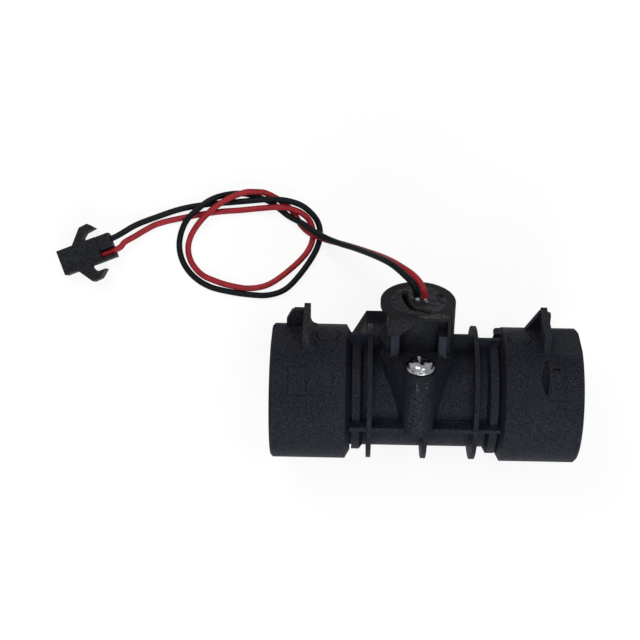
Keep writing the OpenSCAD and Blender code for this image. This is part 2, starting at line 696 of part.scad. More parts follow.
// Light torsion spring round the pin, one leg against the holder and one against the blade
module return_spring() {
    steps = 14;
    start_y = hub_y[1] + 0.45;
    end_y = start_y + spring_turns * spring_pitch;
    coil = [for (i = [0 : steps * spring_turns])
        [spring_coil_r * cos(360 * i / steps), start_y + spring_pitch * i / steps,
            pin_z + spring_coil_r * sin(360 * i / steps)]];
    lower_leg = [[1.15, start_y, pin_z - 1.9], [spring_coil_r, start_y, pin_z - 1]];
    upper_leg = [[spring_coil_r, end_y, spigot_bottom - 0.3]];
    color("#c2c4c6") leaned_back() at_turret()
        swept(concat(lower_leg, coil, upper_leg), spring_wire_r, 6);
}

module seal() {
    along_x(socket_depth + seal_gap) difference() {
        cylinder(r = seal_seat_r - seal_gap, h = seal_depth - 2 * seal_gap);
        translate([0, 0, -cut]) cylinder(r = seal_bore_r, h = seal_depth + 2 * cut);
    }
}

module left_seal() color("#0e0e0e") seal();
module right_seal() color("#0e0e0e") translate([body_len, 0, 0]) mirror([1, 0, 0]) seal();

// Start of a wire in the potting, in the rest frame
function wire_head(i) = [leaned([turret_x + wire_exit_x[i], reed_y, wire_start_z]),
    leaned([turret_x + wire_exit_x[i], reed_y, cup_top + 0.4])];
// End of a wire against its contact in the plug
function wire_tail(i) = [on_plug([-1.6, (i == 0 ? -1 : 1) * contact_pitch / 2 + entry_shift, 0]),
    on_plug([contact_start, (i == 0 ? -1 : 1) * contact_pitch / 2, 0])];

module wire_black() color("#1e2326") swept(concat(wire_head(0), BLACK_ROUTE, wire_tail(0)), wire_d / 2, 8);
module wire_red() color("#c82832") swept(concat(wire_head(1), RED_ROUTE, wire_tail(1)), wire_d / 2, 8);

module on_plug_place() translate([plug_pos[0], plug_pos[1], floor_z]) rotate([0, 0, plug_turn]) children();

// Outline of the plug seen from above, with its two latch wings
module plug_outline() {
    half = plug_w / 2;
    polygon([[0, -half], [7.2, -half], [6.9, -half - 1.2], [5.7, -half - 2.1], [2.9, -half - 2.5],
        [4.4, -half - 4.2], [6.8, -half - 3.9], [10.3, -half], [plug_len, -half], [plug_len, half],
        [11.3, half], [8.4, half + 4.3], [6, half + 4.1], [3.8, half + 2.2], [6.3, half + 2.2],
        [7.3, half + 1], [7.5, half], [0, half]]);
}

module plug_housing() {
    lip = 0.6;
    color("#1b1c20") on_plug_place() difference() {
        linear_extrude(plug_h) plug_outline();
        for (w = [-1, 1]) {
            translate([contact_start - cut, w * contact_pitch / 2 - cavity_w / 2, (plug_h - cavity_w) / 2])
                cube([plug_len, cavity_w, cavity_w]);
            translate([-cut, w * contact_pitch / 2 - wire_d / 2 - 0.25, (plug_h - cavity_w) / 2])
                cube([contact_start + cut, wire_d + 0.5, cavity_w]);
        }
        translate([-cut, (contact_pitch - wire_d) / 2 - 0.25, plug_h / 2])
            cube([trough_len + cut, wire_d + 0.5, plug_h]);
        translate([-cut, -plug_w, plug_h - lip]) cube([trough_len + cut, 2 * plug_w, plug_h]);
    }
}

// Crimped contact: a barrel behind a square spring box
module contact(w) {
    wall = 0.3;
    translate([0, w * contact_pitch / 2, plug_h / 2]) {
        along_x(contact_start) cylinder(r = wire_d / 2, h = barrel_len);
        difference() {
            translate([contact_start + barrel_len - overlap, -contact_w / 2, -contact_w / 2])
                cube([contact_len - barrel_len + overlap, contact_w, contact_w]);
            translate([contact_start + barrel_len + wall, -contact_w / 2 + wall, -contact_w / 2 + wall])
                cube([contact_len, contact_w - 2 * wall, contact_w - 2 * wall]);
        }
    }
}

module contact_black() color("#c8b070") on_plug_place() contact(-1);
module contact_red() color("#c8b070") on_plug_place() contact(1);

body();
sensor_holder();
potting();
holder_o_ring();
screw();
reed_glass();
reed_blade_left();
reed_blade_right();
sleeve_black();
sleeve_red();
paddle();
magnet();
hinge_pin();
return_spring();
left_seal();
right_seal();
wire_black();
wire_red();
plug_housing();
contact_black();
contact_red();
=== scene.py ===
"""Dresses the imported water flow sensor: finishes, smooth wires, detailed small pieces, stage and camera."""
import math

import bmesh
import bpy
from bpy.props import FloatProperty, FloatVectorProperty, IntProperty, PointerProperty
from mathutils import Matrix, Vector, noise


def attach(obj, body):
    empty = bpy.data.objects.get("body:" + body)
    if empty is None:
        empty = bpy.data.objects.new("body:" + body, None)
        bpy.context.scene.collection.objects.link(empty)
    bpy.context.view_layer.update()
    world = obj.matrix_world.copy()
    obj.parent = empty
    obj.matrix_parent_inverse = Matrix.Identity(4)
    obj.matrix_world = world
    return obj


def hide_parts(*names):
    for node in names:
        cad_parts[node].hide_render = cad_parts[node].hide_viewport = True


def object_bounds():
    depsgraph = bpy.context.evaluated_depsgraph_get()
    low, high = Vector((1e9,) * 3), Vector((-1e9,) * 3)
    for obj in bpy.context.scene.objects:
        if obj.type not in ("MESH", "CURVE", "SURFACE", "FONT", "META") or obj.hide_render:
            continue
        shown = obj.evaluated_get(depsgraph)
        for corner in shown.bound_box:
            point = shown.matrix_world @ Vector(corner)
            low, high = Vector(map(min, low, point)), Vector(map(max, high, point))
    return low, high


bl_info = {
    "name": "Water flow sensor",
    "version": (1, 0, 0),
    "blender": (4, 5, 0),
    "location": "3D View > Sidebar > Flow sensor",
    "description": "Builds the pieces and finishes of an in-line water flow sensor on its packed frame",
    "category": "Object",
}

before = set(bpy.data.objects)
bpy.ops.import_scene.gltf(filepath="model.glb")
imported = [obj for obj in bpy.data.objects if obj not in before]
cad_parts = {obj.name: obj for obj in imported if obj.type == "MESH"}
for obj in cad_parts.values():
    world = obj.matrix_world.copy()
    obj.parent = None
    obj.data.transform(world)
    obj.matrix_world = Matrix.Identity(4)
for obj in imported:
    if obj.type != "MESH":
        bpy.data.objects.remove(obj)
CAD_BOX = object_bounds()

MM = 0.001
LEAN = math.radians(58)
TURRET_X = 37.5
# Screw, legs and cup, from the turret's axis in the sensor's own frame
SCREW_X = 0.5
SCREW_Y = -15.6
SCREW_SEAT = 18.3
LEG_REACH = 10.9
CUP_TOP = 28.3
CUP_FLOOR = 20.2
CUP_BORE = 7.2
REED_Y = 1.0
REED_POCKET = (11.8, 3, 5.6)
REED_POCKET_Z = 17.3
WIRE_START_Z = 25.7
HINGE_Z = 8
# Table under the sensor, and the plug that lies on it
FLOOR_Z = -17.7
PLUG_PLACE = (-45.6, 38.3)
PLUG_TURN = math.radians(-158.2)
PLUG_H = 5.5

# Routes of the wires from the turret to the plug, in millimetres, the same points as in the solids
BLACK_ROUTE = [
    (36.2, 28, 16.2), (34, 30.3, 16.2), (31.2, 32.8, 13.8), (28.2, 34.7, 9.6), (21.2, 37.9, -1.4),
    (17, 39.4, -7.4), (13.1, 41.1, -11.6), (9.8, 42.9, -13.2), (6.5, 45.1, -14.1), (2.6, 47.2, -16.2),
    (0.1, 49.1, -16.9), (-2.5, 51, -16.9), (-5.7, 52.2, -16.9), (-9.9, 53.2, -16.9), (-14.4, 52.9, -16.7),
    (-18.8, 51.3, -15.3), (-22.4, 48.6, -15.1), (-25.4, 45.5, -15.3), (-27.2, 41.6, -16.6),
    (-27.5, 37.6, -16.9), (-26.2, 33.5, -16.9), (-23.3, 29.9, -16.9), (-19, 27.3, -16.9),
    (-13.6, 26, -16.9), (-8.2, 25.3, -16.9), (-2.9, 25.2, -16.9), (1.5, 26.6, -16.9), (5, 29.8, -16.9),
    (10.3, 37.8, -16.9), (11.4, 42.1, -16.9), (10.8, 45.5, -16.8), (8.9, 48.1, -16), (6, 50.2, -15.2),
    (1.9, 51.4, -15.1), (-3, 51.6, -15), (-8, 51.2, -15.7), (-13.8, 50.7, -16.9), (-20.4, 50, -16.9),
    (-27.4, 48.6, -16.9), (-33.8, 46.3, -16.6), (-39.6, 43.8, -15.6),
]
RED_ROUTE = [
    (38.5, 27.5, 15.6), (36.7, 30, 14.6), (33.2, 32.7, 11), (29.3, 35, 5.8), (21.2, 38.2, -5),
    (17, 39.6, -10.4), (12.9, 40.8, -13.9), (8.5, 42.6, -15.1), (6, 44.9, -16.3), (4.6, 47.2, -16.9),
    (3.3, 49, -16.9), (1.3, 50.6, -16.9), (-1.2, 52.3, -16.9), (-4.8, 53.7, -16), (-8.3, 53.7, -15.2),
    (-11.9, 52.6, -15.1), (-15.4, 50.8, -15.1), (-18.6, 48.4, -15.1), (-21.9, 45, -15.6),
    (-24.4, 41.2, -16.9), (-25.1, 37.6, -16.9), (-24.1, 33.9, -16.9), (-21.2, 30.6, -16.9),
    (-17.2, 28.8, -16.9), (-12.9, 27.6, -16.9), (-8, 27, -16.9), (-3.3, 27.9, -16.9), (0.8, 30.4, -16.9),
    (7.5, 36.8, -16.9), (9.3, 40.7, -16.9), (9.1, 44.5, -16.8), (7.5, 47.1, -16), (4.4, 48.8, -15.2),
    (0.2, 49.5, -15.1), (-5, 49.2, -16), (-10.9, 48.6, -16.9), (-17.2, 48, -16.9), (-26.2, 46.3, -16.9),
    (-33.8, 44.3, -16.8), (-37.1, 42.5, -16.3), (-39.5, 40.9, -15.8), (-42.6, 38.9, -15.2),
]
# Where the wires come out of the potting, from the turret's axis
WIRE_EXITS = {"black": (-0.2, REED_Y), "red": (1.8, REED_Y)}
# Where a wire enters the plug's trough and ends in its contact, along the plug
WIRE_ENTRY = -1.6
WIRE_END = 4.2
# Sideways from the plug's middle to each contact
CONTACT_ASIDE = 1.6

# Camera of the photograph: width, focal length and shift in pixels, film width, place in metres, roll
PHOTO_PIXELS = 640
FOCAL_PIXELS = 1392
SHIFT_PIXELS = -34
FILM_WIDTH = 36
CAMERA_PLACE = (0.02125, 0.0188, 0.369)
CAMERA_ROLL = math.radians(1.12)


class FlowSensorSizes(bpy.types.PropertyGroup):
    """Sizes that a user may change."""

    wire_diameter: FloatProperty(
        name="Wire diameter", description="Thickness of a wire over its insulation", default=1.66 * MM,
        min=1.2 * MM, max=1.7 * MM, unit="LENGTH")
    wire_sides: IntProperty(
        name="Wire sides", description="Facets round a wire", default=20, min=8, max=32)
    spring_wire: FloatProperty(
        name="Spring wire", description="Thickness of the return spring's wire", default=0.36 * MM,
        min=0.2 * MM, max=0.4 * MM, unit="LENGTH")
    grain: FloatProperty(
        name="Plastic grain", description="Size of the grain in the moulded plastic", default=0.28 * MM,
        min=0.05 * MM, max=1 * MM, unit="LENGTH")
    edge_radius: FloatProperty(
        name="Edge radius", description="Rounding of the mouldings' edges", default=0.25 * MM,
        min=0.05 * MM, max=0.6 * MM, unit="LENGTH")


class FlowSensorColours(bpy.types.PropertyGroup):
    """Colours that a user may change."""

    body: FloatVectorProperty(
        name="Body", description="Colour of the moulded body", subtype="COLOR", size=4,
        default=(0.0042, 0.0051, 0.0088, 1))
    holder: FloatVectorProperty(
        name="Holder", description="Colour of the sensor holder", subtype="COLOR", size=4,
        default=(0.0045, 0.005, 0.0064, 1))
    wear: FloatVectorProperty(
        name="Wear", description="Colour of the rubbed edges", subtype="COLOR", size=4,
        default=(0.03, 0.029, 0.031, 1))
    red_wire: FloatVectorProperty(
        name="Red wire", description="Colour of the red insulation", subtype="COLOR", size=4,
        default=(0.27, 0.013, 0.02, 1))
    black_wire: FloatVectorProperty(
        name="Black wire", description="Colour of the black insulation", subtype="COLOR", size=4,
        default=(0.0025, 0.0035, 0.0048, 1))


def sizes():
    """The scene's sizes group."""
    return bpy.context.scene.flow_sensor_sizes


def colours():
    """The scene's colours group."""
    return bpy.context.scene.flow_sensor_colours


def leaned(x, y, z):
    """A point of the sensor's own frame, in millimetres, as a point of the rest frame in metres."""
    return Vector((
        x, y * math.cos(LEAN) + z * math.sin(LEAN), z * math.cos(LEAN) - y * math.sin(LEAN))) * MM


def on_plug(x, y, z):
    """A point of the plug's own frame, in millimetres, as a point of the rest frame in metres."""
    c, s = math.cos(PLUG_TURN), math.sin(PLUG_TURN)
    return Vector((PLUG_PLACE[0] + x * c - y * s, PLUG_PLACE[1] + x * s + y * c, FLOOR_Z + z)) * MM


def own_matrix():
    """Takes a mesh drawn round the turret's axis, in millimetres, to its place in metres."""
    lean = Matrix.Rotation(-LEAN, 4, "X")
    return Matrix.Scale(MM, 4) @ lean @ Matrix.Translation((TURRET_X, 0, 0))


# Materials

# Colours of painted shade, in the mouldings' shaded spots and in the resin's crack
DEEP_SHADE = (0.0006, 0.0006, 0.0008, 1)
RESIN_CRACK_SHADE = (0.0005, 0.0005, 0.0006, 1)
# Turn of the strands under the insulation, in radians per metre
STRAND_TURN = 1400.0


def feed(tree, node, inputs):
    """Puts sockets or plain values on a node's inputs."""
    for key, value in inputs.items():
        if isinstance(value, bpy.types.NodeSocket):
            tree.links.new(value, node.inputs[key])
        else:
            node.inputs[key].default_value = value


def add(tree, kind, inputs=None, **settings):
    """New node with its settings and its inputs."""
    node = tree.nodes.new(kind)
    for key, value in settings.items():
        setattr(node, key, value)
    feed(tree, node, inputs or {})
    return node


def new_finish(name):
    """New material with its tree, its shader and the object's own coordinates."""
    material = bpy.data.materials.new(name)
    material.use_nodes = True
    tree = material.node_tree
    tree.nodes.clear()
    shader = add(tree, "ShaderNodeBsdfPrincipled")
    add(tree, "ShaderNodeOutputMaterial", {"Surface": shader.outputs["BSDF"]})
    place = add(tree, "ShaderNodeTexCoord").outputs["Object"]
    return material, tree, shader, place


def scaled(colour, factor, lift=0.0):
    """A lighter or darker opaque colour."""
    return tuple(min(1, c * factor + lift) for c in colour[:3]) + (1,)


def mixed(tree, factor, first, second):
    """Colour mix of two colours or sockets."""
    return add(tree, "ShaderNodeMix", {0: factor, 6: first, 7: second}, data_type="RGBA").outputs[2]


def noise_of(tree, coordinates, size, detail=2.0, roughness=0.5):
    """Noise with grains of about the given size in metres."""
    return add(tree, "ShaderNodeTexNoise", {
        "Vector": coordinates, "Scale": 1 / size, "Detail": detail, "Roughness": roughness}).outputs["Fac"]


def span(tree, value, low, high, out_low=0.0, out_high=1.0):
    """The value's place between low and high, held inside the two outputs."""
    return add(tree, "ShaderNodeMapRange", {
        "Value": value, "From Min": low, "From Max": high, "To Min": out_low, "To Max": out_high,
    }).outputs["Result"]


def times(tree, first, second):
    """Product of two values or sockets."""
    return add(tree, "ShaderNodeMath", {0: first, 1: second}, operation="MULTIPLY").outputs[0]


def bumped(tree, strength, depth, height, under=None):
    """Normal that follows height, depth millimetres deep, over another normal."""
    inputs = {"Strength": strength, "Distance": depth * MM, "Height": height}
    if under is not None:
        inputs["Normal"] = under
    return add(tree, "ShaderNodeBump", inputs).outputs["Normal"]


def own_spot(tree, place, centre, reach):
    """1 inside an ellipsoid round a point of the sensor's own frame, falling to 0 at its surface."""
    local = add(tree, "ShaderNodeMapping", {
        "Vector": place, "Location": leaned(*centre), "Rotation": (-LEAN, 0, 0),
        "Scale": [r * MM for r in reach]}, vector_type="TEXTURE").outputs["Vector"]
    far = add(tree, "ShaderNodeVectorMath", {0: local}, operation="LENGTH").outputs["Value"]
    return span(tree, far, 1.0, 0.7)


def moulded_plastic(name, colour, wear, grain, edge, relief=0.8, wear_share=0.6, roughness=0.62, gloss=0.1,
                    painted_glints=(), painted_shades=()):
    """Filled black moulding: mottled, with a fine sparkling grain and rubbed edges, painted glints and
    painted shade.
    """
    material, tree, shader, place = new_finish(name)
    cloud = noise_of(tree, place, 5 * MM, 3, 0.6)
    speck = noise_of(tree, place, grain, 2, 0.6)
    fine = noise_of(tree, place, grain * 0.4, 2)
    rounded = add(tree, "ShaderNodeBevel", {"Radius": edge}, samples=6).outputs["Normal"]
    true_normal = add(tree, "ShaderNodeNewGeometry").outputs["Normal"]
    turn = add(tree, "ShaderNodeVectorMath", {0: rounded, 1: true_normal}, operation="DOT_PRODUCT")
    edge_mask = span(tree, turn.outputs["Value"], 0.995, 0.9)
    rub = times(tree, edge_mask, span(tree, noise_of(tree, place, 1.6 * MM, 4, 0.7), 0.38, 0.62))
    clouded = mixed(tree, span(tree, cloud, 0.3, 0.7), scaled(colour, 0.5), colour)
    specked = mixed(tree, span(tree, speck, 0.45, 0.75), clouded, scaled(colour, 2.4, 0.002))
    worn = mixed(tree, times(tree, rub, wear_share), specked, wear)
    level = span(tree, speck, 0.35, 0.72, gloss * 0.3, gloss * 2)
    # Painted glints: bright flecks in the colour where light catches the moulding
    for centre, reach, tint in painted_glints:
        glint_mask = times(tree, own_spot(tree, place, centre, reach), span(tree, speck, 0.52, 0.66))
        worn = mixed(tree, glint_mask, worn, tint)
    # Painted shade: colour and gloss darkened inside each listed spot
    for centre, reach, depth in painted_shades:
        shade_mask = times(tree, own_spot(tree, place, centre, reach), depth)
        worn = mixed(tree, shade_mask, worn, DEEP_SHADE)
        level = times(tree, level, span(tree, shade_mask, 0, 1, 1, 0))
    feed(tree, shader, {
        "Base Color": worn,
        "Roughness": span(tree, fine, 0.35, 0.7, roughness + 0.12, roughness - 0.14),
        "Specular IOR Level": level,
        "Normal": bumped(tree, relief * 0.6, 0.04, fine, bumped(tree, relief, 0.09, speck, rounded))})
    return material


def plated_metal(name, colour, roughness, brush=0.0, tarnished=0.72):
    """Bright plated or ground metal with fine scratches and a little tarnish."""
    material, tree, shader, place = new_finish(name)
    tarnish = noise_of(tree, place, 1.4 * MM, 4, 0.6)
    scratch = noise_of(tree, place, 0.12 * MM, 2)
    feed(tree, shader, {
        "Base Color": mixed(tree, span(tree, tarnish, 0.35, 0.65), scaled(colour, tarnished), colour),
        "Metallic": 1.0,
        "Roughness": span(tree, scratch, 0.3, 0.7, max(0.04, roughness - 0.06), roughness + 0.08),
        "Normal": bumped(tree, 0.15 + brush, 0.01, scratch)})
    return material


def insulation(name, colour, roughness=0.36, gloss=0.12):
    """Soft wire insulation, with a faint lay of the strands under it."""
    material, tree, shader, place = new_finish(name)
    along = add(tree, "ShaderNodeAttribute", attribute_name="along").outputs["Fac"]
    strands = times(tree, along, STRAND_TURN)
    wave = add(tree, "ShaderNodeMath", {0: strands}, operation="SINE").outputs[0]
    soil = noise_of(tree, place, 2.2 * MM, 4, 0.6)
    pores = noise_of(tree, place, 0.14 * MM, 2)
    feed(tree, shader, {
        "Base Color": mixed(tree, span(tree, soil, 0.32, 0.62), scaled(colour, 0.66), colour),
        "Roughness": span(tree, pores, 0.3, 0.7, roughness - 0.05, roughness + 0.14),
        "Specular IOR Level": gloss,
        "Normal": bumped(tree, 0.25, 0.02, pores, bumped(tree, 0.2, 0.02, wave))})
    return material


def cast_resin(name, colour):
    """Black potting resin: wrinkled, half matt and half glossy, with painted shade in its crack."""
    material, tree, shader, place = new_finish(name)
    wrinkle = noise_of(tree, place, 0.9 * MM, 5, 0.6)
    grit = noise_of(tree, place, 0.2 * MM, 3, 0.6)
    crack_shade = add(tree, "ShaderNodeAttribute", attribute_name="crack_shade").outputs["Fac"]
    top = mixed(tree, span(tree, grit, 0.45, 0.75), colour, scaled(colour, 2.2, 0.002))
    gloss = span(tree, grit, 0.35, 0.72, 0.03, 0.3)
    feed(tree, shader, {
        # Painted shade: the crack and its slots go near black and lose their gloss
        "Base Color": mixed(tree, crack_shade, top, RESIN_CRACK_SHADE),
        "Roughness": span(tree, wrinkle, 0.35, 0.7, 0.62, 0.4),
        "Specular IOR Level": times(tree, gloss, span(tree, crack_shade, 0, 1, 1, 0)),
        "Normal": bumped(tree, 0.6, 0.05, grit, bumped(tree, 0.7, 0.12, wrinkle))})
    return material


def clear_glue(name):
    """Shiny bead of glue where a wire leaves the resin."""
    material, tree, shader, place = new_finish(name)
    swirl = noise_of(tree, place, 0.5 * MM, 3)
    dark, pale = (0.012, 0.013, 0.018, 1), (0.05, 0.055, 0.075, 1)
    feed(tree, shader, {
        "Base Color": mixed(tree, span(tree, swirl, 0.4, 0.6), dark, pale),
        "Roughness": 0.08,
        "Coat Weight": 1.0,
        "Coat Roughness": 0.03,
        "Normal": bumped(tree, 0.2, 0.05, swirl)})
    return material


def soft_rubber(name, colour=(0.011, 0.011, 0.012, 1)):
    """Moulded black rubber with a dull bloom."""
    material, tree, shader, place = new_finish(name)
    bloom = noise_of(tree, place, 1.8 * MM, 4, 0.6)
    pores = noise_of(tree, place, 0.15 * MM, 2)
    feed(tree, shader, {
        "Base Color": mixed(tree, span(tree, bloom, 0.4, 0.75), colour, scaled(colour, 2)),
        "Roughness": span(tree, bloom, 0.3, 0.7, 0.5, 0.68),
        "Specular IOR Level": 0.35,
        "Normal": bumped(tree, 0.35, 0.02, pores)})
    return material


def thin_glass(name):
    """Greenish glass of the reed's tube."""
    material, tree, shader, place = new_finish(name)
    streak = noise_of(tree, place, 0.8 * MM, 2)
    green, pale = (0.55, 0.78, 0.6, 1), (0.7, 0.88, 0.74, 1)
    feed(tree, shader, {
        "Base Color": mixed(tree, span(tree, streak, 0.35, 0.65), green, pale),
        "Roughness": 0.04,
        "Transmission Weight": 0.9,
        "IOR": 1.5,
        "Normal": bumped(tree, 0.1, 0.02, streak)})
    return material


# Meshes

def new_object(name, mesh, *materials):
    """Object in the scene with the given mesh and materials."""
    piece = bpy.data.objects.new(name, mesh)
    bpy.context.scene.collection.objects.link(piece)
    if materials:
        mesh.materials.clear()
        for material in materials:
            mesh.materials.append(material)
    return piece


def finished(piece, body, slot, *nodes):
    """Lets a piece ride on its body and hides the nodes that it stands for."""
    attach(piece, body)
    if nodes:
        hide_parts(*nodes)
    return piece


def dressed(node, material):
    """Puts a material on a solid that is shown as it is."""
    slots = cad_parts[node].data.materials
    slots.clear()
    slots.append(material)


def applied(piece):
    """Mesh of a piece with its modifiers applied."""
    bpy.context.view_layer.update()
    return bpy.data.meshes.new_from_object(piece.evaluated_get(bpy.context.evaluated_depsgraph_get()))


def moulded_copy(node, name, material, sharp=32):
    """Smooth-shaded copy of a solid's mesh, with its own corners kept sharp."""
    work = bmesh.new()
    work.from_mesh(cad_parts[node].data)
    bmesh.ops.remove_doubles(work, verts=work.verts, dist=5e-7)
    bmesh.ops.dissolve_degenerate(work, edges=work.edges, dist=2e-7)
    for face in work.faces:
        face.smooth = True
        face.material_index = 0
    mesh = bpy.data.meshes.new(name)
    work.to_mesh(mesh)
    work.free()
    stale = mesh.attributes.get("custom_normal")
    if stale:
        mesh.attributes.remove(stale)
    mesh.set_sharp_from_angle(angle=math.radians(sharp))
    piece = new_object(name, mesh, material)
    even = piece.modifiers.new("Even shading", "WEIGHTED_NORMAL")
    even.keep_sharp = True
    piece.data = applied(piece)
    piece.data.name = name
    piece.modifiers.clear()
    return piece


def ring_of(work, radius, height, steps):
    """Corners on a circle round Z, or one corner on the axis."""
    if radius < 1e-6:
        return [work.verts.new((0, 0, height))]
    turns = [2 * math.pi * k / steps for k in range(steps)]
    return [work.verts.new((radius * math.cos(a), radius * math.sin(a), height)) for a in turns]


def turned(work, profile, steps):
    """Adds the surface of revolution about Z of (radius, height) points to work."""
    rings = [ring_of(work, radius, height, steps) for radius, height in profile]
    for low, high in zip(rings, rings[1:]):
        for k in range(steps):
            corners = [low[k % len(low)], low[(k + 1) % steps % len(low)],
                       high[(k + 1) % steps % len(high)], high[k % len(high)]]
            unique = list(dict.fromkeys(corners))
            if len(unique) > 2:
                work.faces.new(unique)


def to_piece(work, name, matrix, *materials, sharp=35):
    """Points a bmesh's faces outwards, moves it by the matrix and makes an object of it."""
    bmesh.ops.recalc_face_normals(work, faces=work.faces)
    work.transform(matrix)
    for face in work.faces:
        face.smooth = True
    mesh = bpy.data.meshes.new(name)
    work.to_mesh(mesh)
    work.free()
    mesh.set_sharp_from_angle(angle=math.radians(sharp))
    return new_object(name, mesh, *materials)


def smooth_route(points, parts=5):
    """Points on a smooth curve through the given ones (centripetal spline)."""
    points = [Vector(p) for p in points]
    ends = [points[0] * 2 - points[1]] + points + [points[-1] * 2 - points[-2]]
    route = []
    for i in range(len(points) - 1):
        a, b, c, d = ends[i:i + 4]
        t0 = 0.0
        t1 = t0 + math.sqrt((b - a).length)
        t2 = t1 + math.sqrt((c - b).length)
        t3 = t2 + math.sqrt((d - c).length)
        for k in range(parts):
            t = t1 + (t2 - t1) * k / parts
            ab = a * ((t1 - t) / (t1 - t0)) + b * ((t - t0) / (t1 - t0))
            bc = b * ((t2 - t) / (t2 - t1)) + c * ((t - t1) / (t2 - t1))
            cd = c * ((t3 - t) / (t3 - t2)) + d * ((t - t2) / (t3 - t2))
            abc = ab * ((t2 - t) / (t2 - t0)) + bc * ((t - t0) / (t2 - t0))
            bcd = bc * ((t3 - t) / (t3 - t1)) + cd * ((t - t1) / (t3 - t1))
            route.append(abc * ((t2 - t) / (t2 - t1)) + bcd * ((t - t1) / (t2 - t1)))
    route.append(points[-1])
    return route


def tube_tree():
    """Geometry nodes that sweep a round profile along a curve."""
    tree = bpy.data.node_groups.get("Route to tube")
    if tree:
        return tree
    tree = bpy.data.node_groups.new("Route to tube", "GeometryNodeTree")
    tree.interface.new_socket("Geometry", in_out="INPUT", socket_type="NodeSocketGeometry")
    tree.interface.new_socket("Radius", in_out="INPUT", socket_type="NodeSocketFloat")
    tree.interface.new_socket("Sides", in_out="INPUT", socket_type="NodeSocketInt")
    tree.interface.new_socket("Finish", in_out="INPUT", socket_type="NodeSocketMaterial")
    tree.interface.new_socket("Geometry", in_out="OUTPUT", socket_type="NodeSocketGeometry")
    start = add(tree, "NodeGroupInput")
    length = add(tree, "GeometryNodeSplineParameter").outputs["Length"]
    kept = add(tree, "GeometryNodeStoreNamedAttribute", {
        "Geometry": start.outputs["Geometry"], "Name": "along", "Value": length},
        data_type="FLOAT", domain="POINT")
    ring = add(tree, "GeometryNodeCurvePrimitiveCircle", {
        "Resolution": start.outputs["Sides"], "Radius": start.outputs["Radius"]}, mode="RADIUS")
    tube = add(tree, "GeometryNodeCurveToMesh", {
        "Curve": kept.outputs["Geometry"], "Profile Curve": ring.outputs["Curve"], "Fill Caps": True})
    smooth = add(tree, "GeometryNodeSetShadeSmooth", {"Geometry": tube.outputs["Mesh"]})
    real = add(tree, "GeometryNodeRealizeInstances", {"Geometry": smooth.outputs["Geometry"]})
    finish = add(tree, "GeometryNodeSetMaterial", {
        "Geometry": real.outputs["Geometry"], "Material": start.outputs["Finish"]})
    add(tree, "NodeGroupOutput", {"Geometry": finish.outputs["Geometry"]})
    return tree


def tube(name, route, radius, sides, material):
    """Mesh tube along a route in metres, made by the geometry nodes above."""
    line = bpy.data.curves.new(name + "_line", "CURVE")
    line.dimensions = "3D"
    spline = line.splines.new("POLY")
    spline.points.add(len(route) - 1)
    for point, place in zip(spline.points, route):
        point.co = (*place, 1)
    carrier = bpy.data.objects.new(name + "_line", line)
    bpy.context.scene.collection.objects.link(carrier)
    modifier = carrier.modifiers.new("Tube", "NODES")
    modifier.node_group = tube_tree()
    values = {"Radius": radius, "Sides": sides, "Finish": material}
    for item in modifier.node_group.interface.items_tree:
        if item.item_type == "SOCKET" and item.in_out == "INPUT" and item.name in values:
            modifier[item.identifier] = values[item.name]
    mesh = applied(carrier)
    mesh.name = name
    carrier.modifiers.remove(modifier)
    bpy.data.objects.remove(carrier)
    bpy.data.curves.remove(line)
    work = bmesh.new()
    work.from_mesh(mesh)
    if work.calc_volume(signed=True) < 0:
        bmesh.ops.reverse_faces(work, faces=work.faces)
    work.to_mesh(mesh)
    work.free()
    return new_object(name, mesh, material)


def on_floor(route, thickness):
    """The same route, kept out of the floor and inside the box of the solids."""
    lowest = FLOOR_Z * MM + thickness / 2
    farthest = CAD_BOX[1][1] - thickness / 2
    return [Vector((p.x, min(p.y, farthest), max(p.z, lowest))) for p in route]


class FLOWSENSOR_OT_camera(bpy.types.Operator):
    """Place the camera straight above the table, as in the photograph"""

    bl_idname = "flow_sensor.camera"
    bl_label = "Camera"

    def execute(self, context):
        data = bpy.data.cameras.new("Overhead")
        data.sensor_width = FILM_WIDTH
        data.lens = FOCAL_PIXELS / PHOTO_PIXELS * FILM_WIDTH
        data.shift_x = SHIFT_PIXELS / PHOTO_PIXELS
        data.clip_start = 0.01
        data.clip_end = 20
        camera = bpy.data.objects.new("Overhead", data)
        camera.location = CAMERA_PLACE
        camera.rotation_euler = (0, 0, CAMERA_ROLL)
        context.scene.collection.objects.link(camera)
        context.scene.camera = camera
        return {"FINISHED"}


class FLOWSENSOR_OT_wires(bpy.types.Operator):
    """Lay the two wires from the potting to the plug"""

    bl_idname = "flow_sensor.wires"
    bl_label = "Wires"

    def execute(self, context):
        plans = (
            ("black", BLACK_ROUTE, -CONTACT_ASIDE,
             insulation("Black insulation", colours().black_wire, 0.4, 0.07)),
            ("red", RED_ROUTE, CONTACT_ASIDE, insulation("Red insulation", colours().red_wire, 0.38)),
        )
        for name, points, side, material in plans:
            x, y = WIRE_EXITS[name]
            head = [leaned(TURRET_X + x, y, WIRE_START_Z), leaned(TURRET_X + x, y, CUP_TOP + 0.4)]
            tail = [on_plug(WIRE_ENTRY, side - 0.2, PLUG_H / 2), on_plug(WIRE_END, side, PLUG_H / 2)]
            laid = smooth_route(head + [Vector(p) * MM for p in points] + tail)
            route = on_floor(laid, sizes().wire_diameter)
            wire = tube(
                "wire_" + name + "_laid", route, sizes().wire_diameter / 2, sizes().wire_sides, material)
            finished(wire, "sensor", "wire_" + name, "wire_" + name)
        return {"FINISHED"}


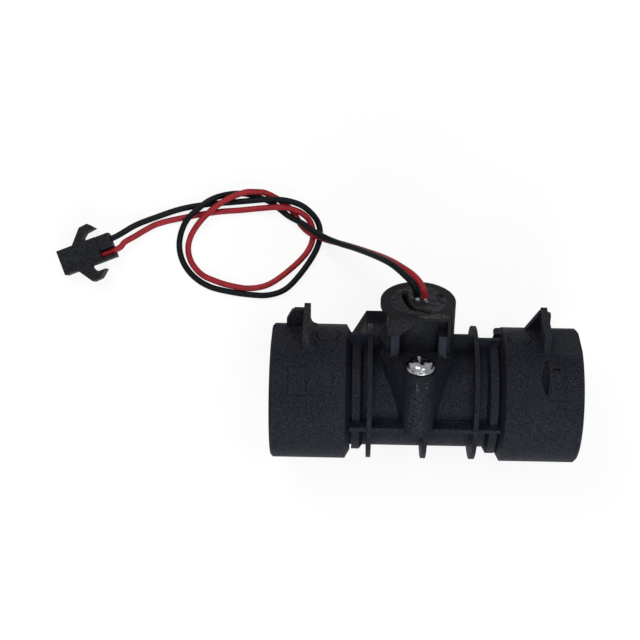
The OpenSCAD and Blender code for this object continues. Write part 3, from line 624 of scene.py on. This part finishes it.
# Painted glints: bright flecks painted where light catches the boss, the boss's skin and the left ear:
# middle and reach in the sensor's own frame, colour
BODY_PAINTED_GLINTS = [
    ((37.2, -19.5, 14.4), (0.35, 1, 2.4), (0.1, 0.1, 0.105, 1)),
    ((39.6, -19.2, 14.6), (0.35, 1, 2.2), (0.09, 0.088, 0.088, 1)),
    ((37.3, -19.4, 6), (2.6, 1.4, 9), (0.03, 0.03, 0.034, 1)),
    ((8, 0, 20), (7, 9, 6), (0.034, 0.032, 0.032, 1)),
]
# Painted shade of a crack in the boss, and painted shade on the foot: middle, reach, depth of the shade
BODY_SHADES = [
    ((40.4, -18.6, 12.1), (1.3, 1.7, 0.16), 1),
    ((33.5, 19, 4), (19, 8.5, 14), 0.75),
]
# Painted highlight along the cup's front edge and painted glints on its roof: middle, reach, colour
HOLDER_PAINTED_GLINTS = [
    ((41.2, -7.4, 28.3), (4.8, 1.4, 0.8), (0.13, 0.122, 0.115, 1)),
    ((34, -9.9, 26.2), (5, 1.8, 3.2), (0.03, 0.03, 0.031, 1)),
]


class FLOWSENSOR_OT_body(bpy.types.Operator):
    """Finish the moulded body"""

    bl_idname = "flow_sensor.body"
    bl_label = "Body"

    def execute(self, context):
        plastic = moulded_plastic(
            "Body moulding", colours().body, colours().wear, sizes().grain, sizes().edge_radius,
            painted_glints=BODY_PAINTED_GLINTS, painted_shades=BODY_SHADES)
        finished(moulded_copy("body", "body_moulding", plastic), "sensor", "body_plastic", "body")
        return {"FINISHED"}


class FLOWSENSOR_OT_holder(bpy.types.Operator):
    """Finish the sensor holder with its cup, legs and tongue"""

    bl_idname = "flow_sensor.holder"
    bl_label = "Sensor holder"

    def execute(self, context):
        # Painted shadow: a dark ring on the holder round the screw's seat
        shadow_under_screw = ((TURRET_X + SCREW_X, SCREW_Y, SCREW_SEAT), (4.5, 4.5, 0.8), 1)
        plastic = moulded_plastic(
            "Holder moulding", colours().holder, colours().wear, sizes().grain * 0.8,
            sizes().edge_radius * 0.8, wear_share=0.8, gloss=0.08, painted_glints=HOLDER_PAINTED_GLINTS,
            painted_shades=[shadow_under_screw])
        # Painted light: the legs' front faces take a paler copy of the moulding
        pale = moulded_plastic(
            "Leg faces painted light", (0.0105, 0.0118, 0.017, 1), colours().wear, sizes().grain * 0.8,
            sizes().edge_radius * 0.8, wear_share=0.4)
        holder = moulded_copy("sensor_holder", "holder_moulding", plastic)
        holder.data.materials.append(pale)
        to_own = own_matrix().inverted()
        for face in holder.data.polygons:
            place = to_own @ face.center
            if abs(place.y + LEG_REACH) < 0.05 and place.z > SCREW_SEAT:
                face.material_index = 1
        finished(holder, "sensor", "holder_plastic", "sensor_holder")
        return {"FINISHED"}


# Shrinkage crack in the potting, its side slot and a groove, from the turret's axis
CREVICE = [(-3.4, 3.4), (-3.4, 1.6), (-2.8, -0.8), (-2, -3.2), (-1.1, -4.6), (0.4, -4.7), (2.2, -5.7)]
SLOT = [(5.5, 3.5), (6.2, 2.6)]
GROOVE = [(4.6, 3), (5.2, 0.6), (6.4, -1.2)]
# Beads of glue at the wires: x and y from the turret's axis, radius, flattening
GLUE_BEADS = [(-0.1, 0.2, 0.8, 1.05), (1.8, 0.1, 0.6, 0.9), (2.2, -0.7, 0.42, 0.6)]


def away_from_line(x, y, line):
    """Distance from a point to a broken line."""
    point = Vector((x, y))
    best = 99.0
    for a, b in zip(line, line[1:]):
        a, b = Vector(a), Vector(b)
        t = max(0.0, min(1.0, (point - a).dot(b - a) / (b - a).length_squared))
        best = min(best, (point - a - (b - a) * t).length)
    return best


def resin_height(x, y):
    """Height of the resin's top above the cup's rim, in millimetres."""
    # Broad lumps and small wrinkles
    height = -0.02 + 0.3 * noise.fractal(Vector((x * 0.5, y * 0.5, 3.1)), 1.0, 2.0, 5)
    height += 0.08 * noise.noise(Vector((x * 2.3, y * 2.3, 7.7)))
    # Raised lips beside the crack, and the crack itself
    crack = away_from_line(x, y, CREVICE)
    height += 0.42 * math.exp(-((crack - 1.25) / 0.5) ** 2) - 1.9 * math.exp(-(crack / 0.55) ** 4)
    height -= 0.9 * math.exp(-(away_from_line(x, y, SLOT) / 0.4) ** 2)
    height -= 0.35 * math.exp(-(away_from_line(x, y, GROOVE) / 0.3) ** 2)
    # Collar round each wire
    for wire_x, wire_y in WIRE_EXITS.values():
        gap = max(0.0, math.hypot(x - wire_x, y - wire_y) - 0.8)
        height += 0.3 * math.exp(-(gap / 0.5) ** 2)
    # Even rim against the cup's wall
    edge = max(0.0, math.hypot(x, y) - CUP_BORE + 0.9) / 0.9
    return min(0.4, height) * (1 - edge) + 0.05 * edge


def resin_shade(x, y):
    """How much painted shade darkens the resin's top in the crack and its side slots."""
    crack = math.exp(-(away_from_line(x, y, CREVICE) / 0.5) ** 4)
    return max(crack, 0.8 * math.exp(-(away_from_line(x, y, SLOT) / 0.4) ** 4))


class FLOWSENSOR_OT_potting(bpy.types.Operator):
    """Cast the wrinkled resin in the cup, with its crack and beads of glue"""

    bl_idname = "flow_sensor.potting"
    bl_label = "Potting"

    def execute(self, context):
        work = bmesh.new()
        radius = CUP_BORE - 0.02
        steps = 120
        rings = 44
        # Painted shade of the crack, kept on each corner of the resin's top
        crack_shade = work.verts.layers.float.new("crack_shade")
        rows = [[work.verts.new((0, 0, CUP_TOP + resin_height(0, 0)))]]
        for i in range(1, rings + 1):
            r = radius * i / rings
            row = []
            for k in range(steps):
                a = 2 * math.pi * k / steps
                x, y = r * math.cos(a), r * math.sin(a)
                corner = work.verts.new((x, y, CUP_TOP + resin_height(x, y)))
                corner[crack_shade] = resin_shade(x, y)
                row.append(corner)
            rows.append(row)
        for height in (CUP_TOP - 1.6, CUP_FLOOR):
            rows.append(ring_of(work, radius, height, steps))
        for k in range(steps):
            work.faces.new((rows[0][0], rows[1][k], rows[1][(k + 1) % steps]))
        for inner, outer in zip(rows[1:], rows[2:]):
            for k in range(steps):
                work.faces.new((inner[k], outer[k], outer[(k + 1) % steps], inner[(k + 1) % steps]))
        work.faces.new(list(reversed(rows[-1])))
        pocket = bmesh.ops.create_cube(work, size=1)["verts"]
        for corner in pocket:
            x, y, z = (c * size for c, size in zip(corner.co, REED_POCKET))
            corner.co = (x, REED_Y + y, REED_POCKET_Z + z)
        black = cast_resin("Potting resin", colours().holder)
        resin = to_piece(work, "potting_resin_cast", own_matrix(), black)
        finished(resin, "sensor", "potting_resin", "potting")

        beads = bmesh.new()
        for x, y, size, squash in GLUE_BEADS:
            made = bmesh.ops.create_icosphere(beads, subdivisions=3, radius=size)["verts"]
            for corner in made:
                bulge = 1 + 0.12 * noise.noise(corner.co * 2.3 + Vector((x, y, 0)))
                corner.co = Vector((corner.co.x * bulge, corner.co.y * bulge, corner.co.z * squash))
                corner.co += Vector((x, y, CUP_TOP + 0.15))
        glue = to_piece(beads, "glue_beads", own_matrix(), clear_glue("Glue"), sharp=80)
        finished(glue, "sensor", "potting_resin")
        return {"FINISHED"}


# Pan-head screw from its seat: head, shank, and the arms and middle of its cross recess
HEAD_R = 3.7
HEAD_EDGE = 0.6
HEAD_H = 2.3
SHANK_R = 1.46
SHANK_END = -10
CROSS_TURNS = (12, 102)
CROSS_TOP = (4.5, 1.05, 2.7)
CROSS_BOTTOM = (2.6, 0.6, 0.7)
CROSS_MIDDLE = {"radius1": 0.5, "radius2": 1.05, "depth": 1.9}
CROSS_MIDDLE_Z = 1.75


class FLOWSENSOR_OT_screw(bpy.types.Operator):
    """Turn the pan-head screw and press its cross recess"""

    bl_idname = "flow_sensor.screw"
    bl_label = "Screw"

    def execute(self, context):
        plate = plated_metal("Nickel plate", (0.32, 0.325, 0.35, 1), 0.1, tarnished=0.35)
        # Much darker metal for the faces that the cross recess cuts
        tarnished = plated_metal("Recess", (0.05, 0.052, 0.06, 1), 0.3)
        work = bmesh.new()
        profile = [(0, SHANK_END), (0.5, SHANK_END), (SHANK_R, SHANK_END + 1.2), (SHANK_R, 0)]
        profile += [(HEAD_R - 0.1, 0), (HEAD_R, 0.1), (HEAD_R, 0.36)]
        profile += [(HEAD_R - 0.1, 0.48), (HEAD_R - 0.42, 0.52)]
        profile += [
            ((HEAD_R - 0.5) * math.cos(a) ** 0.7, HEAD_EDGE + (HEAD_H - HEAD_EDGE) * math.sin(a))
            for a in (math.radians(9 * k) for k in range(10))]
        profile.append((0, HEAD_H))
        turned(work, profile, 72)
        bmesh.ops.remove_doubles(work, verts=work.verts, dist=1e-4)
        head = to_piece(work, "screw_turned", Matrix.Identity(4), plate, tarnished)
        cross = bmesh.new()
        for turn in CROSS_TURNS:
            arm = bmesh.ops.create_cube(cross, size=1)["verts"]
            for corner in arm:
                length, width, height = CROSS_TOP if corner.co.z > 0 else CROSS_BOTTOM
                corner.co = Vector((corner.co.x * length, corner.co.y * width, height))
                corner.co.rotate(Matrix.Rotation(math.radians(turn), 3, "Z"))
        middle = bmesh.ops.create_cone(cross, cap_ends=True, segments=24, **CROSS_MIDDLE)["verts"]
        for corner in middle:
            corner.co.z += CROSS_MIDDLE_Z
        cutter = to_piece(cross, "cross_cutter", Matrix.Identity(4), tarnished)
        press = head.modifiers.new("Recess", "BOOLEAN")
        press.operation = "DIFFERENCE"
        press.solver = "EXACT"
        press.use_self = True
        press.material_mode = "TRANSFER"
        press.object = cutter
        soften = head.modifiers.new("Edges", "BEVEL")
        soften.width = 0.07
        soften.segments = 2
        soften.limit_method = "ANGLE"
        soften.angle_limit = math.radians(40)
        shaped = applied(head)
        head.modifiers.clear()
        bpy.data.objects.remove(cutter)
        head.data = shaped
        shaped.transform(own_matrix() @ Matrix.Translation((SCREW_X, SCREW_Y, SCREW_SEAT)))
        shaped.set_sharp_from_angle(angle=math.radians(50))
        finished(head, "sensor", "screw_steel", "screw")
        return {"FINISHED"}


class FLOWSENSOR_OT_plug(bpy.types.Operator):
    """Finish the plug and its two contacts"""

    bl_idname = "flow_sensor.plug"
    bl_label = "Plug"

    def execute(self, context):
        plastic = moulded_plastic(
            "Plug moulding", (0.0042, 0.0048, 0.006, 1), colours().wear, sizes().grain * 0.8,
            sizes().edge_radius * 0.7, relief=0.3, wear_share=0.5)
        dressed("plug_housing", plastic)
        strip = plated_metal("Tinned strip", (0.66, 0.58, 0.4, 1), 0.28)
        for node in ("contact_black", "contact_red"):
            dressed(node, strip)
        return {"FINISHED"}


# Return spring round the hinge pin, from the turret's axis
COIL_R = 1.35
COIL_START = 1.35
COIL_PITCH = 0.46
COIL_TURNS = 3
COIL_STEPS = 24


class FLOWSENSOR_OT_paddle(bpy.types.Operator):
    """Finish the paddle, its magnet, pin and spring"""

    bl_idname = "flow_sensor.paddle"
    bl_label = "Paddle"

    def execute(self, context):
        plastic = moulded_plastic(
            "Paddle moulding", (0.02, 0.021, 0.025, 1), (0.06, 0.06, 0.065, 1), sizes().grain * 0.6,
            sizes().edge_radius * 0.6, relief=0.2, wear_share=0.3, roughness=0.42)
        finished(
            moulded_copy("paddle", "paddle_moulding", plastic), "paddle_arm", "paddle_plastic", "paddle")
        coat = plated_metal("Magnet coat", (0.36, 0.37, 0.39, 1), 0.34, 0.2)
        finished(moulded_copy("magnet", "magnet_disc", coat), "paddle_arm", "magnet_metal", "magnet")
        ground = plated_metal("Ground pin", (0.6, 0.61, 0.62, 1), 0.22, 0.1)
        finished(moulded_copy("hinge_pin", "hinge_pin_ground", ground), "sensor", "pin_steel", "hinge_pin")
        drawn = plated_metal("Drawn wire", (0.62, 0.62, 0.63, 1), 0.26, 0.1)
        route = [
            leaned(TURRET_X + COIL_R - 0.2, COIL_START, HINGE_Z - 1.9),
            leaned(TURRET_X + COIL_R, COIL_START, HINGE_Z - 1)]
        for k in range(COIL_STEPS * COIL_TURNS + 1):
            a = 2 * math.pi * k / COIL_STEPS
            route.append(leaned(
                TURRET_X + COIL_R * math.cos(a), COIL_START + COIL_PITCH * k / COIL_STEPS,
                HINGE_Z + COIL_R * math.sin(a)))
        route.append(leaned(TURRET_X + COIL_R, COIL_START + COIL_PITCH * COIL_TURNS, HINGE_Z + 2.3))
        spring = tube("return_spring_wound", route, sizes().spring_wire / 2, 8, drawn)
        finished(spring, "sensor", "spring_steel", "return_spring")
        return {"FINISHED"}


class FLOWSENSOR_OT_seals(bpy.types.Operator):
    """Finish the two socket seals and the holder's ring"""

    bl_idname = "flow_sensor.seals"
    bl_label = "Seals"

    def execute(self, context):
        rubber = soft_rubber("Seal rubber")
        for node in ("left_seal", "right_seal", "holder_o_ring"):
            finished(moulded_copy(node, node + "_moulded", rubber), "sensor", "seal_rubber", node)
        return {"FINISHED"}


class FLOWSENSOR_OT_reed(bpy.types.Operator):
    """Finish the reed contact and its sleeves"""

    bl_idname = "flow_sensor.reed"
    bl_label = "Reed contact"

    def execute(self, context):
        tinned = plated_metal("Tinned lead", (0.6, 0.6, 0.57, 1), 0.3)
        glass = thin_glass("Reed glass")
        for node, material in (
                ("reed_blade_left", tinned), ("reed_blade_right", tinned), ("reed_glass", glass),
                ("sleeve_black", insulation("Black sleeve", (0.012, 0.012, 0.013, 1), 0.5)),
                ("sleeve_red", insulation("Red sleeve", (0.32, 0.012, 0.02, 1), 0.5))):
            dressed(node, material)
        return {"FINISHED"}


# Pale floor, and soft lamps: name, place in metres, width in metres, power in watts, tint
FLOOR_HALF = 1.6
FLOOR_MIDDLE = (0.02, 0.02)
FLOOR_GAP = 0.0001
FLOOR_WHITE = 0.86
LAMPS = [
    ("Key", (-0.25, 0.45, 0.7), 0.5, 4.4, (1, 0.97, 0.93)),
    ("Front", (0.15, -0.7, 0.45), 0.6, 6, (0.84, 0.9, 1)),
    ("Over", (0.35, 0.1, 0.85), 0.35, 2.6, (1, 1, 1)),
]
LAMP_AIM = Vector((0.03, 0.01, 0))


def background_rays(tree):
    """1 for the rays that should meet the plain white background."""
    ray = add(tree, "ShaderNodeLightPath").outputs
    seen = ray["Is Camera Ray"]
    for kind in ("Is Glossy Ray", "Is Transmission Ray"):
        seen = add(tree, "ShaderNodeMath", {0: seen, 1: ray[kind]}, operation="MAXIMUM").outputs[0]
    return seen


class FLOWSENSOR_OT_stage(bpy.types.Operator):
    """Set the pale floor and the soft lamps"""

    bl_idname = "flow_sensor.stage"
    bl_label = "Stage"

    def execute(self, context):
        material = bpy.data.materials.new("Pale floor")
        material.use_nodes = True
        tree = material.node_tree
        tree.nodes.clear()
        share = times(tree, background_rays(tree), FLOOR_WHITE)
        matt = add(tree, "ShaderNodeBsdfDiffuse", {"Color": (0.85, 0.85, 0.85, 1)})
        white = add(tree, "ShaderNodeEmission", {"Color": (1, 1, 1, 1), "Strength": 1.0})
        both = add(tree, "ShaderNodeMixShader", {0: share, 1: matt.outputs[0], 2: white.outputs[0]})
        add(tree, "ShaderNodeOutputMaterial", {"Surface": both.outputs[0]})
        work = bmesh.new()
        bmesh.ops.create_grid(work, x_segments=1, y_segments=1, size=FLOOR_HALF)
        mesh = bpy.data.meshes.new("floor")
        work.to_mesh(mesh)
        work.free()
        mesh.transform(Matrix.Translation((*FLOOR_MIDDLE, FLOOR_Z * MM - FLOOR_GAP)))
        new_object("floor", mesh, material)

        world = bpy.data.worlds.new("Studio")
        context.scene.world = world
        world.use_nodes = True
        tree = world.node_tree
        tree.nodes.clear()
        dim = add(tree, "ShaderNodeBackground", {"Color": (0.93, 0.96, 1, 1), "Strength": 0.26})
        white = add(tree, "ShaderNodeBackground", {"Color": (1, 1, 1, 1), "Strength": 1.0})
        both = add(tree, "ShaderNodeMixShader", {
            0: background_rays(tree), 1: dim.outputs[0], 2: white.outputs[0]})
        add(tree, "ShaderNodeOutputWorld", {"Surface": both.outputs[0]})

        for name, place, size, power, tint in LAMPS:
            data = bpy.data.lights.new(name, "AREA")
            data.shape = "DISK"
            data.size = size
            data.energy = power
            data.color = tint
            lamp = bpy.data.objects.new(name, data)
            lamp.location = place
            lamp.rotation_euler = (LAMP_AIM - Vector(place)).to_track_quat("-Z", "Y").to_euler()
            context.scene.collection.objects.link(lamp)
        context.scene.view_settings.view_transform = "Standard"
        return {"FINISHED"}


STEPS = (
    FLOWSENSOR_OT_camera, FLOWSENSOR_OT_wires, FLOWSENSOR_OT_body, FLOWSENSOR_OT_holder,
    FLOWSENSOR_OT_potting, FLOWSENSOR_OT_screw, FLOWSENSOR_OT_plug, FLOWSENSOR_OT_paddle,
    FLOWSENSOR_OT_seals, FLOWSENSOR_OT_reed, FLOWSENSOR_OT_stage,
)


class FLOWSENSOR_PT_panel(bpy.types.Panel):
    """Sizes, colours and steps of the flow sensor"""

    bl_idname = "FLOWSENSOR_PT_panel"
    bl_label = "Flow sensor"
    bl_space_type = "VIEW_3D"
    bl_region_type = "UI"
    bl_category = "Flow sensor"

    def draw(self, context):
        column = self.layout.column(align=True)
        for step in STEPS:
            column.operator(step.bl_idname)
        for group in (context.scene.flow_sensor_sizes, context.scene.flow_sensor_colours):
            for name in group.__annotations__:
                self.layout.prop(group, name)


CLASSES = (FlowSensorSizes, FlowSensorColours) + STEPS + (FLOWSENSOR_PT_panel,)


def register():
    """Adds the groups, steps and panel."""
    for item in CLASSES:
        bpy.utils.register_class(item)
    bpy.types.Scene.flow_sensor_sizes = PointerProperty(type=FlowSensorSizes)
    bpy.types.Scene.flow_sensor_colours = PointerProperty(type=FlowSensorColours)


def unregister():
    """Takes the groups, steps and panel away again."""
    del bpy.types.Scene.flow_sensor_colours
    del bpy.types.Scene.flow_sensor_sizes
    for item in reversed(CLASSES):
        bpy.utils.unregister_class(item)


def main():
    """Runs every step in order."""
    register()
    for step in STEPS:
        family, action = step.bl_idname.split(".")
        getattr(getattr(bpy.ops, family), action)()


if __name__ == "__main__":
    main()
